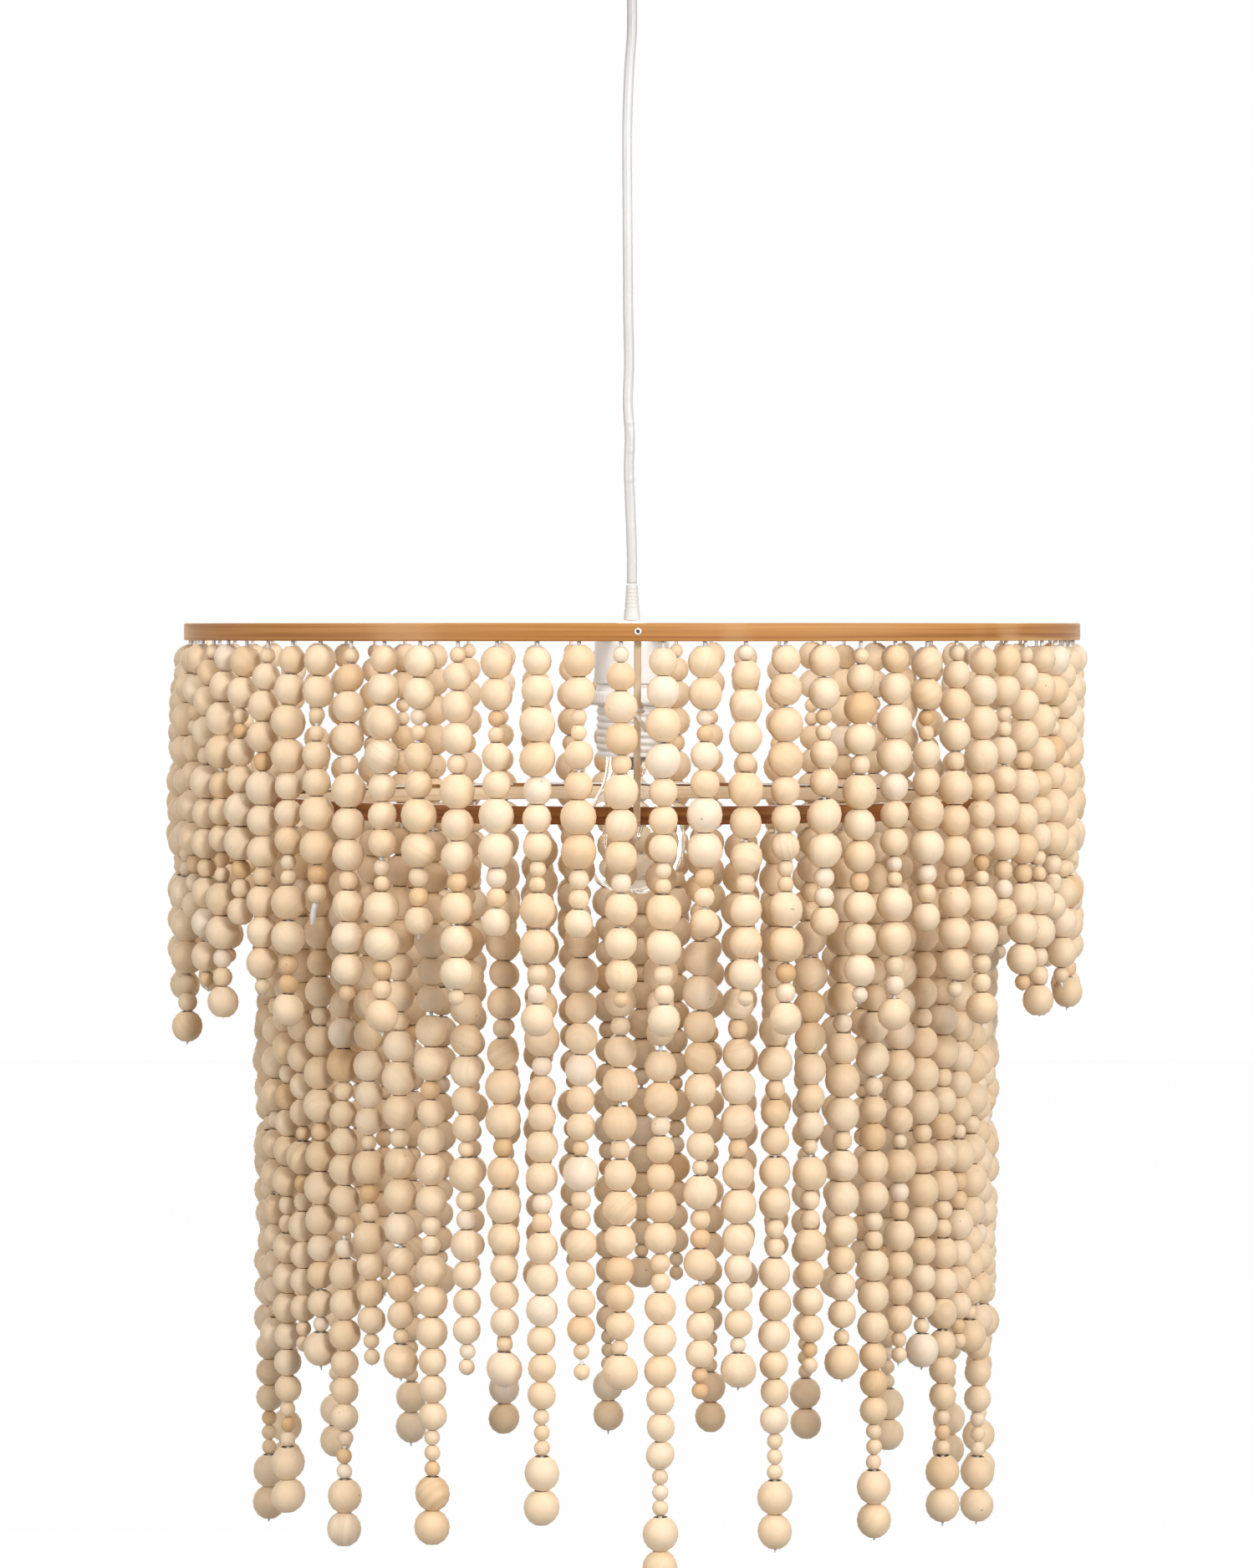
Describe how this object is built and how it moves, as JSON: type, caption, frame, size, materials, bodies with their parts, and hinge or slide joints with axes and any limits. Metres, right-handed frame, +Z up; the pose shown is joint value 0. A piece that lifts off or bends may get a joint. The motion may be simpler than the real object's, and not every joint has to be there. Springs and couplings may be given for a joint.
{
  "type": "beaded chandelier",
  "caption": "Two-tier pendant chandelier: wooden bead strands hung from two bamboo hoops around a bulb on a white cord.",
  "frame": {"origin": "on the ceiling, at the middle of the bracket's top face", "axes": "+Z up, -Y towards the viewer of the picture, +X to that viewer's right"},
  "size_m": [0.5126, 0.5126, 0.9171],
  "materials": {
    "golden_bamboo": "satin",
    "dark_bamboo": "satin",
    "pale_bamboo": "matte",
    "bead_wood": "matte",
    "white_plastic": "satin",
    "cord_jacket": "satin",
    "ceramic": "matte",
    "clear_glass": "gloss",
    "nickel": "polished"
  },
  "bodies": {
    "ceiling_fitting": {"ceiling_bracket": "nickel", "ceiling_cup": "white_plastic", "cord_grip": "white_plastic"},
    "cord": {"supply_cord": "cord_jacket"},
    "shade_frame": {"upper_hoop_outer": "golden_bamboo", "upper_hoop_inner": "pale_bamboo", "lower_hoop_outer": "dark_bamboo", "lower_hoop_inner": "pale_bamboo", "strut_1": "pale_bamboo", "strut_2": "pale_bamboo", "strut_3": "pale_bamboo", "strut_4": "pale_bamboo", "crossbar_lower": "pale_bamboo", "crossbar_upper": "pale_bamboo", "strain_relief": "white_plastic", "holder_nipple": "nickel", "holder_cap": "white_plastic", "holder_body": "white_plastic", "contact_block": "ceramic"},
    "shade_ring": {"shade_ring": "white_plastic"},
    "bulb": {"bulb_screw_cap": "nickel", "bulb_glass": "clear_glass"},
    "upper_strands_01": {"upper_strands_01": "bead_wood"},
    "upper_strands_02": {"upper_strands_02": "bead_wood"},
    "upper_strands_03": {"upper_strands_03": "bead_wood"},
    "upper_strands_04": {"upper_strands_04": "bead_wood"},
    "upper_strands_05": {"upper_strands_05": "bead_wood"},
    "upper_strands_06": {"upper_strands_06": "bead_wood"},
    "upper_strands_07": {"upper_strands_07": "bead_wood"},
    "upper_strands_08": {"upper_strands_08": "bead_wood"},
    "upper_strands_09": {"upper_strands_09": "bead_wood"},
    "upper_strands_10": {"upper_strands_10": "bead_wood"},
    "upper_strands_11": {"upper_strands_11": "bead_wood"},
    "upper_strands_12": {"upper_strands_12": "bead_wood"},
    "upper_strands_13": {"upper_strands_13": "bead_wood"},
    "upper_strands_14": {"upper_strands_14": "bead_wood"},
    "upper_strands_15": {"upper_strands_15": "bead_wood"},
    "upper_strands_16": {"upper_strands_16": "bead_wood"},
    "upper_strands_17": {"upper_strands_17": "bead_wood"},
    "upper_strands_18": {"upper_strands_18": "bead_wood"},
    "lower_strands_01": {"lower_strands_01": "bead_wood"},
    "lower_strands_02": {"lower_strands_02": "bead_wood"},
    "lower_strands_03": {"lower_strands_03": "bead_wood"},
    "lower_strands_04": {"lower_strands_04": "bead_wood"},
    "lower_strands_05": {"lower_strands_05": "bead_wood"},
    "lower_strands_06": {"lower_strands_06": "bead_wood"},
    "lower_strands_07": {"lower_strands_07": "bead_wood"},
    "lower_strands_08": {"lower_strands_08": "bead_wood"},
    "lower_strands_09": {"lower_strands_09": "bead_wood"},
    "lower_strands_10": {"lower_strands_10": "bead_wood"},
    "lower_strands_11": {"lower_strands_11": "bead_wood"},
    "lower_strands_12": {"lower_strands_12": "bead_wood"},
    "lower_strands_13": {"lower_strands_13": "bead_wood"},
    "lower_strands_14": {"lower_strands_14": "bead_wood"},
    "lower_strands_15": {"lower_strands_15": "bead_wood"},
    "lower_strands_16": {"lower_strands_16": "bead_wood"},
    "lower_strands_17": {"lower_strands_17": "bead_wood"},
    "lower_strands_18": {"lower_strands_18": "bead_wood"},
    "lower_strands_19": {"lower_strands_19": "bead_wood"},
    "lower_strands_20": {"lower_strands_20": "bead_wood"}
  },
  "joints": [
    {"name": "cord_swing", "type": "hinge", "parent": "ceiling_fitting", "child": "cord", "pos_m": [0, 0, -0.063], "axis": [0, 1, 0], "range_deg": [-10, 10]},
    {"name": "shade_tilt", "type": "hinge", "parent": "cord", "child": "shade_frame", "pos_m": [0, 0, -0.3914], "axis": [1, 0, 0], "range_deg": [-8, 8]},
    {"name": "bulb_unscrew", "type": "slide", "parent": "shade_frame", "child": "bulb", "axis": [0, 0, -1], "range_m": [0, 0.03]},
    {"name": "shade_ring_turn", "type": "hinge", "parent": "shade_frame", "child": "shade_ring", "pos_m": [0, 0, -0.4547], "axis": [0, 0, 1], "continuous": true},
    {"name": "upper_swing_01", "type": "hinge", "parent": "shade_frame", "child": "upper_strands_01", "pos_m": [-0.0988, -0.224, -0.4177], "axis": [-0.915, 0.4035, 0], "range_deg": [-1, 6]},
    {"name": "upper_swing_02", "type": "hinge", "parent": "shade_frame", "child": "upper_strands_02", "pos_m": [-0.01622, -0.24422, -0.4177], "axis": [-0.9978, 0.0663, 0], "range_deg": [-1, 6]},
    {"name": "upper_swing_03", "type": "hinge", "parent": "shade_frame", "child": "upper_strands_03", "pos_m": [0.06834, -0.23524, -0.4177], "axis": [-0.9603, -0.279, 0], "range_deg": [-1, 6]},
    {"name": "upper_swing_04", "type": "hinge", "parent": "shade_frame", "child": "upper_strands_04", "pos_m": [0.14455, -0.19751, -0.4177], "axis": [-0.807, -0.5906, 0], "range_deg": [-1, 6]},
    {"name": "upper_swing_05", "type": "hinge", "parent": "shade_frame", "child": "upper_strands_05", "pos_m": [0.20339, -0.13616, -0.4177], "axis": [-0.5563, -0.831, 0], "range_deg": [-1, 6]},
    {"name": "upper_swing_06", "type": "hinge", "parent": "shade_frame", "child": "upper_strands_06", "pos_m": [0.23789, -0.05843, -0.4177], "axis": [-0.2385, -0.9711, 0], "range_deg": [-1, 6]},
    {"name": "upper_swing_07", "type": "hinge", "parent": "shade_frame", "child": "upper_strands_07", "pos_m": [0.24332, 0.02643, -0.4177], "axis": [0.108, -0.9942, 0], "range_deg": [-1, 6]},
    {"name": "upper_swing_08", "type": "hinge", "parent": "shade_frame", "child": "upper_strands_08", "pos_m": [0.21961, 0.10806, -0.4177], "axis": [0.4415, -0.8973, 0], "range_deg": [-1, 6]},
    {"name": "upper_swing_09", "type": "hinge", "parent": "shade_frame", "child": "upper_strands_09", "pos_m": [0.16955, 0.17681, -0.4177], "axis": [0.7218, -0.6921, 0], "range_deg": [-1, 6]},
    {"name": "upper_swing_10", "type": "hinge", "parent": "shade_frame", "child": "upper_strands_10", "pos_m": [0.09877, 0.22394, -0.4177], "axis": [0.915, -0.4035, 0], "range_deg": [-1, 6]},
    {"name": "upper_swing_11", "type": "hinge", "parent": "shade_frame", "child": "upper_strands_11", "pos_m": [0.01623, 0.24443, -0.4177], "axis": [0.9978, -0.0663, 0], "range_deg": [-1, 6]},
    {"name": "upper_swing_12", "type": "hinge", "parent": "shade_frame", "child": "upper_strands_12", "pos_m": [-0.06828, 0.23503, -0.4177], "axis": [0.9603, 0.279, 0], "range_deg": [-1, 6]},
    {"name": "upper_swing_13", "type": "hinge", "parent": "shade_frame", "child": "upper_strands_13", "pos_m": [-0.14455, 0.19751, -0.4177], "axis": [0.807, 0.5906, 0], "range_deg": [-1, 6]},
    {"name": "upper_swing_14", "type": "hinge", "parent": "shade_frame", "child": "upper_strands_14", "pos_m": [-0.20356, 0.13627, -0.4177], "axis": [0.5563, 0.831, 0], "range_deg": [-1, 6]},
    {"name": "upper_swing_15", "type": "hinge", "parent": "shade_frame", "child": "upper_strands_15", "pos_m": [-0.23769, 0.05838, -0.4177], "axis": [0.2385, 0.9711, 0], "range_deg": [-1, 6]},
    {"name": "upper_swing_16", "type": "hinge", "parent": "shade_frame", "child": "upper_strands_16", "pos_m": [-0.2433, -0.02643, -0.4177], "axis": [-0.108, 0.9942, 0], "range_deg": [-1, 6]},
    {"name": "upper_swing_17", "type": "hinge", "parent": "shade_frame", "child": "upper_strands_17", "pos_m": [-0.2198, -0.10815, -0.4177], "axis": [-0.4415, 0.8973, 0], "range_deg": [-1, 6]},
    {"name": "upper_swing_18", "type": "hinge", "parent": "shade_frame", "child": "upper_strands_18", "pos_m": [-0.1694, -0.17665, -0.4177], "axis": [-0.7218, 0.6921, 0], "range_deg": [-1, 6]},
    {"name": "lower_swing_01", "type": "hinge", "parent": "shade_frame", "child": "lower_strands_01", "pos_m": [0.03527, -0.19405, -0.5131], "axis": [-0.9839, -0.1788, 0], "range_deg": [-1, 6]},
    {"name": "lower_swing_02", "type": "hinge", "parent": "shade_frame", "child": "lower_strands_02", "pos_m": [0.0935, -0.17364, -0.5131], "axis": [-0.8805, -0.4741, 0], "range_deg": [-1, 6]},
    {"name": "lower_swing_03", "type": "hinge", "parent": "shade_frame", "child": "lower_strands_03", "pos_m": [0.14258, -0.13625, -0.5131], "axis": [-0.6909, -0.723, 0], "range_deg": [-1, 6]},
    {"name": "lower_swing_04", "type": "hinge", "parent": "shade_frame", "child": "lower_strands_04", "pos_m": [0.1777, -0.08552, -0.5131], "axis": [-0.4337, -0.9011, 0], "range_deg": [-1, 6]},
    {"name": "lower_swing_05", "type": "hinge", "parent": "shade_frame", "child": "lower_strands_05", "pos_m": [0.19543, -0.02642, -0.5131], "axis": [-0.134, -0.991, 0], "range_deg": [-1, 6]},
    {"name": "lower_swing_06", "type": "hinge", "parent": "shade_frame", "child": "lower_strands_06", "pos_m": [0.19403, 0.03526, -0.5131], "axis": [0.1788, -0.9839, 0], "range_deg": [-1, 6]},
    {"name": "lower_swing_07", "type": "hinge", "parent": "shade_frame", "child": "lower_strands_07", "pos_m": [0.17364, 0.0935, -0.5131], "axis": [0.4741, -0.8805, 0], "range_deg": [-1, 6]},
    {"name": "lower_swing_08", "type": "hinge", "parent": "shade_frame", "child": "lower_strands_08", "pos_m": [0.13625, 0.14258, -0.5131], "axis": [0.723, -0.6909, 0], "range_deg": [-1, 6]},
    {"name": "lower_swing_09", "type": "hinge", "parent": "shade_frame", "child": "lower_strands_09", "pos_m": [0.08552, 0.1777, -0.5131], "axis": [0.9011, -0.4337, 0], "range_deg": [-1, 6]},
    {"name": "lower_swing_10", "type": "hinge", "parent": "shade_frame", "child": "lower_strands_10", "pos_m": [0.02642, 0.19543, -0.5131], "axis": [0.991, -0.134, 0], "range_deg": [-1, 6]},
    {"name": "lower_swing_11", "type": "hinge", "parent": "shade_frame", "child": "lower_strands_11", "pos_m": [-0.03526, 0.19403, -0.5131], "axis": [0.9839, 0.1788, 0], "range_deg": [-1, 6]},
    {"name": "lower_swing_12", "type": "hinge", "parent": "shade_frame", "child": "lower_strands_12", "pos_m": [-0.0935, 0.17364, -0.5131], "axis": [0.8805, 0.4741, 0], "range_deg": [-1, 6]},
    {"name": "lower_swing_13", "type": "hinge", "parent": "shade_frame", "child": "lower_strands_13", "pos_m": [-0.14258, 0.13625, -0.5131], "axis": [0.6909, 0.723, 0], "range_deg": [-1, 6]},
    {"name": "lower_swing_14", "type": "hinge", "parent": "shade_frame", "child": "lower_strands_14", "pos_m": [-0.1777, 0.08552, -0.5131], "axis": [0.4337, 0.9011, 0], "range_deg": [-1, 6]},
    {"name": "lower_swing_15", "type": "hinge", "parent": "shade_frame", "child": "lower_strands_15", "pos_m": [-0.19543, 0.02642, -0.5131], "axis": [0.134, 0.991, 0], "range_deg": [-1, 6]},
    {"name": "lower_swing_16", "type": "hinge", "parent": "shade_frame", "child": "lower_strands_16", "pos_m": [-0.19403, -0.03526, -0.5131], "axis": [-0.1788, 0.9839, 0], "range_deg": [-1, 6]},
    {"name": "lower_swing_17", "type": "hinge", "parent": "shade_frame", "child": "lower_strands_17", "pos_m": [-0.17364, -0.0935, -0.5131], "axis": [-0.4741, 0.8805, 0], "range_deg": [-1, 6]},
    {"name": "lower_swing_18", "type": "hinge", "parent": "shade_frame", "child": "lower_strands_18", "pos_m": [-0.13625, -0.14257, -0.5131], "axis": [-0.723, 0.6909, 0], "range_deg": [-1, 6]},
    {"name": "lower_swing_19", "type": "hinge", "parent": "shade_frame", "child": "lower_strands_19", "pos_m": [-0.08552, -0.1777, -0.5131], "axis": [-0.9011, 0.4337, 0], "range_deg": [-1, 6]},
    {"name": "lower_swing_20", "type": "hinge", "parent": "shade_frame", "child": "lower_strands_20", "pos_m": [-0.02642, -0.19544, -0.5131], "axis": [-0.991, 0.134, 0], "range_deg": [-1, 6]}
  ]
}
